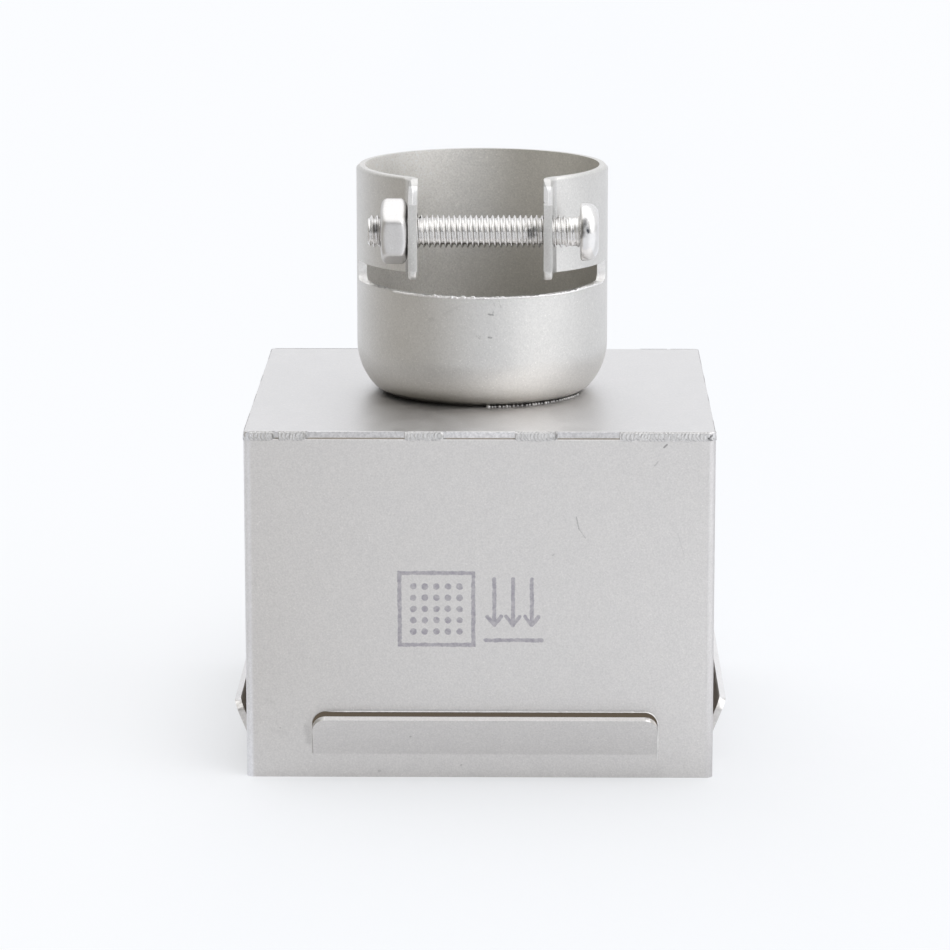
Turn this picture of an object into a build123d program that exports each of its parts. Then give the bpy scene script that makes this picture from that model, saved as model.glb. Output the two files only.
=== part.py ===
from build123d import *
import os
from math import atan2, cos, degrees, floor, pi, radians, sin, sqrt, tan

# Hot air nozzle for a rework station, millimetres, +Z up, front towards -Y.
# The origin is the centre of the open mouth's rim.

# Mouth and box
package_size = 41.0
package_clearance = 0.2
sheet = 0.6
fold_radius = 0.1
box_height = 32.2
seam_gap = 0.1
roof_corner_radius = 0.6
roof_edge_radius = 0.15

# Louvers in the foot of each wall
louver_width = 31.5
louver_height = 3.95
louver_hinge_height = 2.2
louver_offset = 0.5
louver_corner_radius = 1.2
louver_angle = 22.0
louver_kerf = 0.05

# Drawn inlet cup with its clamp band
cup_bore = 22.0
cup_wall = 0.8
cup_height = 21.4
knuckle_radius = 6.0
knuckle_rise = 4.7
foot_land = 0.913
rim_chamfer = 0.3
slot_rise = 10.8
slot_height = 1.85
slot_end = 2.2
slot_corner_radius = 0.8

# Clamp ears
ear_gap = 11.5
ear_bend_radius = 1.6
ear_slope_width = 4.5
ear_slope_height = 1.75
ear_corner_radius = 0.95
ear_hole_clearance = 0.2
ear_hole_to_bend = 2.06
ear_hole_to_edge = 2.3
ear_hole_drop = 0.125

# Clamp screw
thread_diameter = 3.0
screw_length = 19.3
screw_tip_chamfer = 0.35
head_diameter = 5.3
head_height = 1.7
head_side_height = 0.6
head_standoff = 2.5
recess_length = 2.8
recess_width = 0.65
recess_depth = 1.1
recess_taper = 8.0

# Clamp nut
nut_flats = 5.5
nut_thickness = 2.4
nut_seat_diameter = 5.2
nut_chamfer_angle = 30.0
nut_turn = 24.0
nut_standoff = 0.1
thread_clearance = 0.05

# Perforated tray over the chip chamber
tray_sheet = 0.5
tray_height = 10.0
tray_flange = 4.0
tray_fit = 0.05
tray_fold_radius = 0.3
tray_corner_notch = 1.5
tray_hole_diameter = 3.0
tray_hole_pitch = 5.2
tray_hole_margin = 3.0

# Stitch welds
bead_width = 0.75
bead_rise = 0.12
bead_taper = 35.0
first_stitch_length = 5.4
last_stitch_length = 8.3
middle_stitch_length = 3.75
middle_stitch_spacing = 10.0
corner_stitch_length = 4.5
corner_stitch_count = 3
cup_bead_leg = 0.55
cup_bead_height = 0.25
cup_bead_fit = 0.02
cup_bead_start = 5.0
cup_bead_sweep = 57.0

# Sizes that follow
mouth = package_size + 2 * package_clearance
outer = mouth + 2 * sheet
wall_height = box_height - sheet - seam_gap
fold_outer_radius = fold_radius + sheet
bore_radius = cup_bore / 2
cup_radius = bore_radius + cup_wall
rim_height = box_height + cup_height
knuckle_height = box_height + knuckle_rise
knuckle_axis_radius = cup_radius - knuckle_radius
foot_radius = knuckle_axis_radius + sqrt(knuckle_radius**2 - knuckle_rise**2)
throat_radius = foot_radius - foot_land
slot_bottom = box_height + slot_rise
slot_top = slot_bottom + slot_height
ear_outer_x = ear_gap / 2 + cup_wall

# Plan of an ear: the band's middle line bends forwards round a small radius
bend_mid_radius = ear_bend_radius + cup_wall / 2
ear_mid_x = ear_gap / 2 + cup_wall / 2
bend_x = ear_mid_x + bend_mid_radius
bend_y = -sqrt((bore_radius + cup_wall / 2 + bend_mid_radius) ** 2 - bend_x**2)
bend_turn = degrees(atan2(-bend_y, bend_x))

# The screw passes the ears near their middle, and its nut just reaches the foot of the bend
screw_forward = ear_hole_to_bend - bend_y
screw_height = (slot_top + rim_height) / 2 - ear_hole_drop
ear_reach = screw_forward + ear_hole_to_edge
screw_axis = Axis((0, -screw_forward, screw_height), (1, 0, 0))

# Louver window, sheared through the front wall
with BuildPart() as louver_window:
    with BuildSketch(Plane.XZ.offset(outer / 2 + sheet)) as window_outline:
        with Locations((louver_offset, louver_hinge_height + louver_height / 2)):
            Rectangle(louver_width, louver_height)
        fillet(window_outline.vertices().group_by(Axis.Y)[-1], louver_corner_radius)
    extrude(amount=-3 * sheet)

# Louver flap, folded out of the window about its lower edge
flap_length = louver_height - louver_kerf
flap_lean = radians(louver_angle)
half_sheet = sheet / 2
mitre_rise = half_sheet * tan(flap_lean / 2)
flap_tip = (-flap_length * sin(flap_lean), flap_length * cos(flap_lean))
tip_step = (half_sheet * cos(flap_lean), half_sheet * sin(flap_lean))
hinge_plane = Plane(
    origin=(louver_offset, -outer / 2 + half_sheet, louver_hinge_height),
    x_dir=(0, 1, 0),
    z_dir=(1, 0, 0),
)
with BuildPart() as louver_flap:
    with BuildSketch(hinge_plane) as flap_section:
        Polygon(
            (-half_sheet, -sheet),
            (half_sheet, -sheet),
            (half_sheet, mitre_rise),
            (flap_tip[0] + tip_step[0], flap_tip[1] + tip_step[1]),
            (flap_tip[0] - tip_step[0], flap_tip[1] - tip_step[1]),
            (-half_sheet, -mitre_rise),
            align=None,
        )
        fillet(flap_section.vertices().sort_by(Axis.Y)[2:4], fold_outer_radius)
    extrude(amount=louver_width / 2 - louver_kerf, both=True)
    flap_top = louver_flap.faces().sort_by(Axis.Z)[-1]
    fillet(flap_top.edges().filter_by(Axis.X, reverse=True), louver_corner_radius)

# Wall shell: one strip folded at three corners, with a butt seam at the rear left corner
with BuildPart() as wall_shell:
    with BuildSketch():
        RectangleRounded(outer, outer, fold_outer_radius)
        with Locations((-outer / 2, outer / 2)):
            Rectangle(fold_outer_radius, fold_outer_radius, align=(Align.MIN, Align.MAX))
        RectangleRounded(mouth, mouth, fold_radius, mode=Mode.SUBTRACT)
        with Locations((-mouth / 2, mouth / 2)):
            Rectangle(fold_radius, fold_radius, align=(Align.MIN, Align.MAX), mode=Mode.SUBTRACT)
            Rectangle(seam_gap, 2 * sheet, align=(Align.MIN, Align.CENTER), mode=Mode.SUBTRACT)
    extrude(amount=wall_height)
    for side in range(4):
        add(louver_window.part, rotation=(0, 0, 90 * side), mode=Mode.SUBTRACT)
        add(louver_flap.part, rotation=(0, 0, 90 * side))
wall_shell.part.label = "wall_shell"

# Top plate: the flat roof, with the inlet hole
with BuildPart() as top_plate:
    with BuildSketch(Plane.XY.offset(box_height - sheet)):
        RectangleRounded(outer, outer, roof_corner_radius)
        Circle(throat_radius, mode=Mode.SUBTRACT)
    extrude(amount=sheet)
    roof_edges = top_plate.faces().sort_by(Axis.Z)[-1].outer_wire().edges()
    fillet(roof_edges, roof_edge_radius)
top_plate.part.label = "top_plate"

# Inlet cup, drawn form: straight ring on a knuckle, cut off flat where it stands on the roof
inner_knuckle = knuckle_radius - cup_wall
throat_drop = sqrt(inner_knuckle**2 - (throat_radius - knuckle_axis_radius) ** 2)
throat_height = knuckle_height - throat_drop

# Inlet cup, corner of the open sector between the ears
beyond = 2 * ear_reach
gap_corner = (beyond * cos(radians(bend_turn)), -beyond * sin(radians(bend_turn)))
with BuildPart() as inlet_cup:
    with BuildSketch(Plane.XZ):
        with BuildLine():
            Polyline(
                (cup_radius, knuckle_height),
                (cup_radius, rim_height),
                (bore_radius, rim_height),
                (bore_radius, knuckle_height),
            )
            RadiusArc((bore_radius, knuckle_height), (throat_radius, throat_height), inner_knuckle)
            Polyline(
                (throat_radius, throat_height),
                (throat_radius, box_height),
                (foot_radius, box_height),
            )
            RadiusArc((foot_radius, box_height), (cup_radius, knuckle_height), -knuckle_radius)
        make_face()
    revolve(axis=Axis.Z)
    # The sector between the two bends is open above the slot
    with BuildSketch(Plane.XY.offset(slot_bottom + slot_height / 2)):
        Polygon((0, 0), gap_corner, (-gap_corner[0], gap_corner[1]), align=None)
    extrude(amount=cup_height, mode=Mode.SUBTRACT)
    with BuildSketch(Plane.XY.offset(slot_top)):
        with BuildLine():
            CenterArc((bend_x, bend_y), bend_mid_radius, 180 - bend_turn, bend_turn)
            Line((ear_mid_x, bend_y), (ear_mid_x, -ear_reach))
        trace(line_width=cup_wall)
        mirror(about=Plane.YZ)
    extrude(amount=rim_height - slot_top)
    # The turned rim has a broken outer edge, which runs on along the ears
    rim_wire = inlet_cup.faces().sort_by(Axis.Z)[-1].outer_wire()
    chamfer(rim_wire.edges().sort_by(SortBy.LENGTH)[-1], rim_chamfer)
    # The cross slot frees the band as far back as its end
    with BuildSketch(Plane.YZ) as slot_outline:
        with Locations((-slot_end, slot_bottom)):
            Rectangle(beyond, slot_height, align=(Align.MAX, Align.MIN))
        slot_floor = slot_outline.vertices().group_by(Axis.Y)[0]
        fillet(slot_floor.sort_by(Axis.X)[-1], slot_corner_radius)
    extrude(amount=beyond, both=True, mode=Mode.SUBTRACT)
    # The ears slope down at the front and have rounded lower corners
    with BuildSketch(Plane.YZ):
        Polygon(
            (-ear_reach, rim_height),
            (-ear_reach, rim_height - ear_slope_height),
            (-ear_reach + ear_slope_width, rim_height),
            align=None,
        )
    extrude(amount=beyond, both=True, mode=Mode.SUBTRACT)
    ear_corners = inlet_cup.edges().filter_by(Axis.X).group_by(Axis.Y)[0].group_by(Axis.Z)[0]
    fillet(ear_corners, ear_corner_radius)
    with BuildSketch(Plane.YZ):
        with Locations((-screw_forward, screw_height)):
            Circle(thread_diameter / 2 + ear_hole_clearance)
    extrude(amount=beyond, both=True, mode=Mode.SUBTRACT)
inlet_cup.part.label = "inlet_cup"

# Clamp nut: hexagon, chamfered on both faces, held off the left ear by the foot of its bend
nut_corner_radius = nut_flats / 2 / cos(pi / 6)
nut_seat_radius = nut_seat_diameter / 2
nut_chamfer = (nut_corner_radius - nut_seat_radius) * tan(radians(nut_chamfer_angle))
nut_seat_x = -ear_outer_x - nut_standoff
nut_plane = Plane(origin=(nut_seat_x, -screw_forward, screw_height), x_dir=(0, -1, 0), z_dir=(-1, 0, 0))
nut_half_plane = Plane(origin=nut_plane.origin, x_dir=(-1, 0, 0), z_dir=(0, 1, 0))
with BuildPart() as clamp_nut:
    with BuildSketch(nut_half_plane):
        Polygon(
            (0, 0),
            (0, nut_seat_radius),
            (nut_chamfer, nut_corner_radius),
            (nut_thickness - nut_chamfer, nut_corner_radius),
            (nut_thickness, nut_seat_radius),
            (nut_thickness, 0),
            align=None,
        )
    revolve(axis=screw_axis)
    with BuildSketch(nut_plane):
        RegularPolygon(nut_corner_radius, 6, rotation=nut_turn)
        Circle(thread_diameter / 2 + thread_clearance, mode=Mode.SUBTRACT)
    extrude(amount=nut_thickness, mode=Mode.INTERSECT)
clamp_nut.part.label = "clamp_nut"

# Clamp screw: pan head with a cross recess, at rest with its head short of the right ear
head_radius = head_diameter / 2
thread_radius = thread_diameter / 2
head_round = head_height - head_side_height
head_plane = Plane(
    origin=(ear_outer_x + head_standoff, -screw_forward, screw_height), x_dir=(1, 0, 0), z_dir=(0, -1, 0)
)
recess_plane = Plane(
    origin=(ear_outer_x + head_standoff + head_height, -screw_forward, screw_height), z_dir=(1, 0, 0)
)
with BuildPart() as clamp_screw:
    with BuildSketch(head_plane):
        with BuildLine():
            Polyline(
                (head_height, head_radius - head_round),
                (head_height, 0),
                (-screw_length, 0),
                (-screw_length, thread_radius - screw_tip_chamfer),
                (-screw_length + screw_tip_chamfer, thread_radius),
                (0, thread_radius),
                (0, head_radius),
                (head_side_height, head_radius),
            )
            CenterArc((head_side_height, head_radius - head_round), head_round, 0, 90)
        make_face()
    revolve(axis=screw_axis)
    with BuildSketch(recess_plane):
        Rectangle(recess_length, recess_width)
        Rectangle(recess_width, recess_length)
    extrude(amount=-recess_depth, taper=recess_taper, mode=Mode.SUBTRACT)
clamp_screw.part.label = "clamp_screw"

# Diffuser tray: perforated floor with four flanges folded up against the walls
tray_size = mouth - 2 * tray_fit
tray_hole_span = tray_size - 2 * tray_hole_margin - tray_hole_diameter
tray_hole_count = floor(tray_hole_span / tray_hole_pitch) + 1
with BuildPart() as diffuser_tray:
    with BuildSketch(Plane.XY.offset(tray_height)):
        Rectangle(tray_size, tray_size)
    extrude(amount=tray_flange)
    floor_edges = diffuser_tray.faces().sort_by(Axis.Z)[0].edges()
    fillet(floor_edges, tray_fold_radius + tray_sheet)
    with BuildSketch(Plane.XY.offset(tray_height + tray_sheet)):
        Rectangle(tray_size - 2 * tray_sheet, tray_size - 2 * tray_sheet)
    extrude(amount=tray_flange, mode=Mode.SUBTRACT)
    with BuildSketch(Plane.XY.offset(tray_height)):
        with GridLocations(tray_hole_pitch, tray_hole_pitch, tray_hole_count, tray_hole_count):
            Circle(tray_hole_diameter / 2)
        with GridLocations(tray_size, tray_size, 2, 2):
            Rectangle(2 * tray_corner_notch, 2 * tray_corner_notch)
    extrude(amount=tray_flange, mode=Mode.SUBTRACT)
diffuser_tray.part.label = "diffuser_tray"

# Seam welds: four stitches across each slit between roof and wall
flat_half = outer / 2 - fold_outer_radius
bead_height = wall_height + seam_gap / 2 + bead_width / 6
stitches = [
    (-flat_half + first_stitch_length / 2, first_stitch_length),
    (-middle_stitch_spacing / 2, middle_stitch_length),
    (middle_stitch_spacing / 2, middle_stitch_length),
    (flat_half - last_stitch_length / 2, last_stitch_length),
]
with BuildPart() as seam_stitches:
    for stitch_middle, stitch_length in stitches:
        with BuildSketch(Plane.XZ.offset(outer / 2)):
            with Locations((stitch_middle, bead_height)):
                SlotOverall(stitch_length, bead_width)
        extrude(amount=bead_rise, taper=bead_taper)

# Corner seam weld: stitches down the butt seam at the rear left corner
rear_plane = Plane(origin=(0, outer / 2, 0), x_dir=(-1, 0, 0), z_dir=(0, 1, 0))
with BuildPart() as corner_seam_weld:
    with BuildSketch(rear_plane):
        with Locations((mouth / 2 - seam_gap / 2, wall_height / 2)):
            with GridLocations(bead_width, wall_height / corner_stitch_count, 1, corner_stitch_count):
                SlotOverall(corner_stitch_length, bead_width, rotation=90)
    extrude(amount=bead_rise, taper=bead_taper)
corner_seam_weld.part.label = "corner_seam_weld"

# Cup weld: a stitch in the notch under the knuckle at the front right, and its twin opposite
bead_top_drop = knuckle_rise - cup_bead_height
bead_top_radius = knuckle_axis_radius + sqrt(knuckle_radius**2 - bead_top_drop**2)
with BuildPart() as cup_weld:
    for start in (cup_bead_start - 90, cup_bead_start + 90):
        bead_dir = (cos(radians(start)), sin(radians(start)), 0)
        bead_normal = (sin(radians(start)), -cos(radians(start)), 0)
        with BuildSketch(Plane(origin=(0, 0, box_height), x_dir=bead_dir, z_dir=bead_normal)):
            Polygon(
                (foot_radius + cup_bead_fit, 0),
                (foot_radius + cup_bead_leg, 0),
                (bead_top_radius + cup_bead_fit, cup_bead_height),
                align=None,
            )
        revolve(axis=Axis.Z, revolution_arc=cup_bead_sweep)
cup_weld.part.label = "cup_weld"

os.makedirs("parts", exist_ok=True)
export_step(wall_shell.part, "parts/wall_shell.step")
export_step(top_plate.part, "parts/top_plate.step")
export_step(inlet_cup.part, "parts/inlet_cup.step")
export_step(clamp_nut.part, "parts/clamp_nut.step")
export_step(clamp_screw.part, "parts/clamp_screw.step")
export_step(diffuser_tray.part, "parts/diffuser_tray.step")
export_step(corner_seam_weld.part, "parts/corner_seam_weld.step")
export_step(cup_weld.part, "parts/cup_weld.step")
for turn, side_name in enumerate(("front", "right", "rear", "left")):
    with BuildPart() as seam_weld:
        add(seam_stitches.part, rotation=(0, 0, 90 * turn))
    seam_weld.part.label = f"{side_name}_seam_weld"
    export_step(seam_weld.part, f"parts/{side_name}_seam_weld.step")
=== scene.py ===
import random
from math import atan2, copysign, cos, degrees, hypot, pi, radians, sin, sqrt

import bmesh
import bpy
from mathutils import Matrix, Vector, noise


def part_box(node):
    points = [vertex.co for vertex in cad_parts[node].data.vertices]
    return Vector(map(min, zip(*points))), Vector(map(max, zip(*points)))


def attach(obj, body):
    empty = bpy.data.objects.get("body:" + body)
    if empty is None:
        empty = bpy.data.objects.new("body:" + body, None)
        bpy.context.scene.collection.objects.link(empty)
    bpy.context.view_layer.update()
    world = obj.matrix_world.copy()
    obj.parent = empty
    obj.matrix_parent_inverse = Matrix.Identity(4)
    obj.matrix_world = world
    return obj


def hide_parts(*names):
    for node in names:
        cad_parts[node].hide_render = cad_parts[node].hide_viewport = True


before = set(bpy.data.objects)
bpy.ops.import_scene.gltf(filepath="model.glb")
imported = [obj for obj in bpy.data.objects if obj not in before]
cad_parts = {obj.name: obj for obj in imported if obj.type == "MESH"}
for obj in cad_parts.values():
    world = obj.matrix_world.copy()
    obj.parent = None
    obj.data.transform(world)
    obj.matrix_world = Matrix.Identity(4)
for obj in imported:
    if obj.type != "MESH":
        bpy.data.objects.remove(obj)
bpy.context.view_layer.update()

mm = 0.001
perMm = 1 / mm
plain = (1.0, 1.0, 1.0)  # no tint

# Places and sizes taken from the frame
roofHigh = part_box("top_plate")[1]
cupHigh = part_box("inlet_cup")[1]
screwLow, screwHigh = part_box("clamp_screw")
nutLow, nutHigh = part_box("clamp_nut")
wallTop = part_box("wall_shell")[1].z
outerHalf = roofHigh.x
cupRadius = cupHigh.y
plateInset = 0.05 * mm  # the roof's edge lies a little inside the walls
axisY = (screwLow.y + screwHigh.y) / 2
axisZ = (screwLow.z + screwHigh.z) / 2
headRadius = (screwHigh.z - screwLow.z) / 2


def linkObject(name, data):
    obj = bpy.data.objects.new(name, data)
    bpy.context.scene.collection.objects.link(obj)
    return obj


# Camera, at the photograph's viewing angle
camera = dict(
    lens=162.08,  # mm on a sensor 36 mm wide
    place=(0.00498, -0.39852, 0.107),
    pitch=11.7945,  # degrees down
    yaw=0.8159,
    roll=0.04,
)


def makeCamera():
    data = bpy.data.cameras.new("photoCamera")
    data.lens = camera["lens"]
    data.sensor_width = 36.0
    data.clip_start = 0.01
    data.clip_end = 20.0
    turn = Matrix.Rotation(radians(camera["yaw"]), 4, "Z")
    tilt = Matrix.Rotation(radians(90 - camera["pitch"]), 4, "X")
    roll = Matrix.Rotation(radians(-camera["roll"]), 4, "Z")
    obj = linkObject("photoCamera", data)
    obj.matrix_world = Matrix.Translation(camera["place"]) @ turn @ tilt @ roll
    bpy.context.scene.camera = obj
    bpy.context.scene.view_settings.view_transform = "Standard"


# Node helpers: a Value is a number, a colour, a place or a shader that a node tree works out
class Value:
    def __init__(self, tree, socket):
        self.tree = tree
        self.socket = socket

    def math(self, operation, *others, clamp=False):
        values = dict(enumerate((self, *others)))
        return getValue(self.tree, "Math", "Value", values, operation=operation, use_clamp=clamp)

    def __add__(self, other):
        return self.math("ADD", other)

    def __sub__(self, other):
        return self.math("SUBTRACT", other)

    def __rsub__(self, other):
        return self * -1.0 + other

    def __mul__(self, other):
        return self.math("MULTIPLY", other)

    def __abs__(self):
        return self.math("ABSOLUTE")

    def __gt__(self, other):
        return self.math("GREATER_THAN", other)

    def __lt__(self, other):
        return self.math("LESS_THAN", other)

    def between(self, low, high):
        return (self > low) * (self < high)

    def spread(self, low, high, toLow=0.0, toHigh=1.0, smooth=True):
        # what runs from low to high, made to run from toLow to toHigh
        values = {"Value": self, "From Min": low, "From Max": high, "To Min": toLow, "To Max": toHigh}
        style = "SMOOTHSTEP" if smooth else "LINEAR"
        return getValue(self.tree, "MapRange", "Result", values, interpolation_type=style)

    def vary(self, share, smooth=True):
        # noise made into a factor round 1
        return self.spread(0.3, 0.7, 1 - share, 1 + share, smooth)

    def dim(self, strength):
        # a mask made into a factor that darkens by this share
        return self.spread(0.0, 1.0, 1.0, 1 - strength, smooth=False)


def setInputs(node, values):
    for key, value in values.items():
        if isinstance(value, Value):
            node.id_data.links.new(value.socket, node.inputs[key])
        else:
            node.inputs[key].default_value = value


def addNode(tree, kind, values=None, **settings):
    node = tree.nodes.new("ShaderNode" + kind)
    for key, value in settings.items():
        setattr(node, key, value)
    setInputs(node, values or {})
    return node


def getValue(tree, kind, output, values=None, **settings):
    return Value(tree, addNode(tree, kind, values, **settings).outputs[output])


def vectorMath(operation, first, second=None, output="Vector"):
    values = {0: first} if second is None else {0: first, 1: second}
    return getValue(first.tree, "VectorMath", output, values, operation=operation)


def scaled(color, amount):
    values = {0: color, "Scale": amount}
    return getValue(amount.tree, "VectorMath", "Vector", values, operation="SCALE")


def sidesOf(place):
    node = addNode(place.tree, "SeparateXYZ", {0: place})
    return [Value(place.tree, node.outputs[side]) for side in "XYZ"]


def widest(x, y):
    return abs(x).math("MAXIMUM", abs(y))


def distanceOf(x, y):
    return (x * x + y * y).math("SQRT")


def grain(place, size, detail=2.0, rough=0.5, seed=0.0):
    # size is the width of one blotch in metres
    values = {"Vector": place, "W": seed, "Scale": 1 / size, "Detail": detail, "Roughness": rough}
    return getValue(place.tree, "TexNoise", "Fac", values, noise_dimensions="4D")


def blend(factor, first, second):
    values = {0: factor}
    for key, color in ((6, first), (7, second)):
        values[key] = (*color, 1.0) if isinstance(color, tuple) else color
    return getValue(factor.tree, "Mix", 2, values, data_type="RGBA")


def emptyTree(owner):
    # the node tree of a material or of the world
    owner.use_nodes = True
    owner.node_tree.nodes.clear()
    return owner.node_tree


def startMaterial(name):
    material = bpy.data.materials.new(name)
    tree = emptyTree(material)
    addNode(tree, "OutputMaterial", {"Surface": getValue(tree, "BsdfPrincipled", "BSDF")})
    return material, getValue(tree, "TexCoord", "Object")


def dress(material, color, metallic, rough, height, depth):
    # height is the surface's grain, raised by depth
    values = {"Height": height, "Distance": depth, "Strength": 1.0}
    normal = getValue(height.tree, "Bump", "Normal", values)
    shader = material.node_tree.nodes["Principled BSDF"]
    setInputs(shader, {"Base Color": color, "Metallic": metallic, "Roughness": rough, "Normal": normal})
    return material


# Studio: a white floor under a soft sky, bright behind, above and at the right, dim at the left front
studio = dict(
    floorHalf=4.0,
    floorColor=(0.735, 0.745, 0.762),
    floorWhite=(0.97, 0.98, 1.0, 1.0),
    floorLift=0.36,  # share of plain white in what the camera sees
    floorLiftLeft=0.40,  # a little more where the shadow falls
    floorLeft=(-0.016, -0.036),
    floorLiftRight=0.70,  # and towards the right
    floorRight=(0.018, 0.07),
    floorInsideGlow=(0.118, 0.096, 0.073, 1.0),  # the ground in the box glows dim brown: painted light in the box's shade
    sky=(0.87, 0.88, 0.90),
    skySeen=(0.965, 0.973, 0.99, 1.0),
    skyPatches=(
        # azimuth and elevation of the patch, where it ends and is full (cosines), strength, colour
        (-68, 14, 0.42, 1.0, -0.55, (0.86, 0.90, 1.0)),
        (56, 30, 0.70, 0.98, 0.60, plain),
        (50, 30, 0.90, 0.985, 0.7, (1.0, 0.99, 0.975)),
        (66, 56, 0.86, 0.975, 0.45, (1.0, 0.99, 0.975)),
        (-110, 62, 0.60, 1.0, 0.35, plain),
        (0, 40, 0.55, 1.0, -0.17, plain),
        (150, 40, 0.45, 1.0, 0.15, (0.98, 0.99, 1.0)),
        (20, 84, 0.55, 0.97, 0.52, plain),
        (14, 13, 0.970, 0.990, -0.75, plain),
    ),
    sheen=(0.99, 0.99, 1.0),  # how much of the floor the metal mirrors
    floorPatches=(
        (-72, 0, 0.35, 1.0, -0.53, (0.84, 0.90, 1.0)),
        (56, 0, 0.72, 0.98, 0.27, plain),
    ),
    sheenRange=(0.028, 0.0616),  # metres from the middle, where these patches begin and are full
)


def addPatches(total, direction, patches):
    for azimuth, elevation, end, full, strength, color in patches:
        a, e = radians(azimuth), radians(elevation)
        aim = (sin(a) * cos(e), -cos(a) * cos(e), sin(e))
        toward = vectorMath("DOT_PRODUCT", direction, aim, "Value")
        amount = toward.spread(end, full, 0.0, strength, smooth=strength > 0)
        total = vectorMath("ADD", scaled(color, amount), total)
    return total


def makeFloor():
    half = studio["floorHalf"]
    mesh = bpy.data.meshes.new("studioFloor")
    corners = [(-half, -half, 0), (half, -half, 0), (half, half, 0), (-half, half, 0)]
    mesh.from_pydata(corners, [], [(0, 1, 2, 3)])
    material = bpy.data.materials.new("studioFloor")
    tree = emptyTree(material)
    glossy = getValue(tree, "LightPath", "Is Glossy Ray")
    seen = getValue(tree, "LightPath", "Is Camera Ray")
    place = getValue(tree, "TexCoord", "Object")
    x, y, z = sidesOf(place)
    outside = widest(x, y) > outerHalf - 0.3 * mm
    # the metal mirrors a floor that is dimmer at the left and brighter at the right
    sheen = addPatches(studio["sheen"], vectorMath("NORMALIZE", place), studio["floorPatches"])
    far = vectorMath("LENGTH", place, output="Value").spread(*studio["sheenRange"])
    sheen = blend(glossy, plain, blend(far, studio["sheen"], sheen))
    color = vectorMath("MULTIPLY", sheen, studio["floorColor"])
    paper = getValue(tree, "BsdfDiffuse", 0, {"Color": color})
    white = getValue(tree, "Emission", 0, {"Color": studio["floorWhite"], "Strength": 1.0})
    left = x.spread(*studio["floorLeft"], 0.0, studio["floorLiftLeft"])
    right = x.spread(*studio["floorRight"], 0.0, studio["floorLiftRight"])
    lift = seen * (outside * studio["floorLift"] + left + right)
    lifted = getValue(tree, "MixShader", 0, {0: lift, 1: paper, 2: white})
    # the ground inside the box's outline glows: painted light seen through the louvers
    brown = getValue(tree, "Emission", 0, {"Color": studio["floorInsideGlow"], "Strength": 1.0})
    mix = getValue(tree, "MixShader", 0, {0: outside, 1: brown, 2: lifted})
    addNode(tree, "OutputMaterial", {"Surface": mix})
    mesh.materials.append(material)
    linkObject("studioFloor", mesh)


def makeSky():
    world = bpy.data.worlds.new("studioSky")
    tree = emptyTree(world)
    direction = getValue(tree, "TexCoord", "Generated")
    color = addPatches(studio["sky"], direction, studio["skyPatches"])
    light = getValue(tree, "Background", 0, {"Color": color, "Strength": 1.0})
    white = getValue(tree, "Background", 0, {"Color": studio["skySeen"], "Strength": 1.0})
    seen = getValue(tree, "LightPath", "Is Camera Ray")
    mix = getValue(tree, "MixShader", 0, {0: seen, 1: light, 2: white})
    addNode(tree, "OutputWorld", {"Surface": mix})
    bpy.context.scene.world = world


# Blasted steel, the finish of the sheet, the cup, the nut and the welds
blastedSteel = dict(
    color=(0.69, 0.68, 0.67),
    roughness=0.40,
    roughnessSwing=0.03,
    grainSize=0.15 * mm,
    grainDepth=0.012 * mm,
    grainShade=0.07,  # share of the colour that the grain takes or gives
    mottleSize=1.8 * mm,
    mottle=0.015,
    sparkle=0.10,
)
nutFinish = dict(blastedSteel, color=(0.64, 0.63, 0.62), grainShade=0.05)
burrFinish = dict(blastedSteel, color=(0.86, 0.85, 0.84), roughness=0.34, grainDepth=0.02 * mm)
rootFinish = dict(blastedSteel, color=(0.44, 0.395, 0.34), roughness=0.55)
trayFinish = dict(blastedSteel, color=(0.50, 0.445, 0.375), roughness=0.45)  # browned by the hot air


def blastedBase(place, finish):
    # shade of the blasted surface, its roughness and its grain's height
    size, rough, swing = finish["grainSize"], finish["roughness"], finish["roughnessSwing"]
    cloud = grain(place, finish["mottleSize"], 3.0, 0.55, 3.0)
    speck = grain(place, size, 1.5, 0.5, 7.0)
    dust = speck * 0.85 + grain(place, size * 2.3, 1.0, 0.5, 11.0) * 0.15
    spark = grain(place, size, 0.0, 0.5, 23.0).spread(0.72, 0.80, 0.0, finish["sparkle"])
    shade = cloud.vary(finish["mottle"]) * dust.vary(finish["grainShade"], smooth=False) + spark
    return shade, cloud.spread(0.3, 0.7, rough - swing, rough + swing), speck


def blastedMaterial(name, finish):
    material, place = startMaterial(name)
    shade, rough, speck = blastedBase(place, finish)
    return dress(material, scaled(finish["color"], shade), 1.0, rough, speck, finish["grainDepth"])


# Roof: painted light in front of the cup, and mottled painted shade along its sheared edge
roofFinish = dict(
    blastedSteel,
    color=(0.695, 0.685, 0.685),
    grainShade=0.04,
    paintedLightMiddle=(1.0 * mm, -15.8 * mm),
    paintedLightStretch=0.6,
    paintedLightRange=(0.5 * mm, 8.5 * mm),
    paintedLight=1.26,
    edgeWidth=0.06 * mm,
    paintedEdgeShadeSize=0.30 * mm,
    paintedEdgeShade=(0.80, 1.03),
)


def roofMaterial():
    material, place = startMaterial("blastedRoof")
    finish = roofFinish
    shade, rough, speck = blastedBase(place, finish)
    x, y, z = sidesOf(place)
    middleX, middleY = finish["paintedLightMiddle"]
    # painted light in front of the cup
    away = distanceOf(x - middleX, (y - middleY) * finish["paintedLightStretch"])
    shade *= away.spread(*finish["paintedLightRange"], finish["paintedLight"], 1.0)
    # mottled painted shade along the sheared edge, dimming its highlight
    edge = widest(x, y) > outerHalf - plateInset - finish["edgeWidth"]
    paintedEdgeShade = grain(place, finish["paintedEdgeShadeSize"], 3.0, 0.65, 51.0).spread(0.32, 0.68, *finish["paintedEdgeShade"])
    shade *= edge.spread(0.0, 1.0, 1.0, paintedEdgeShade)
    return dress(material, scaled(finish["color"], shade), 1.0, rough, speck, finish["grainDepth"])
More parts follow.
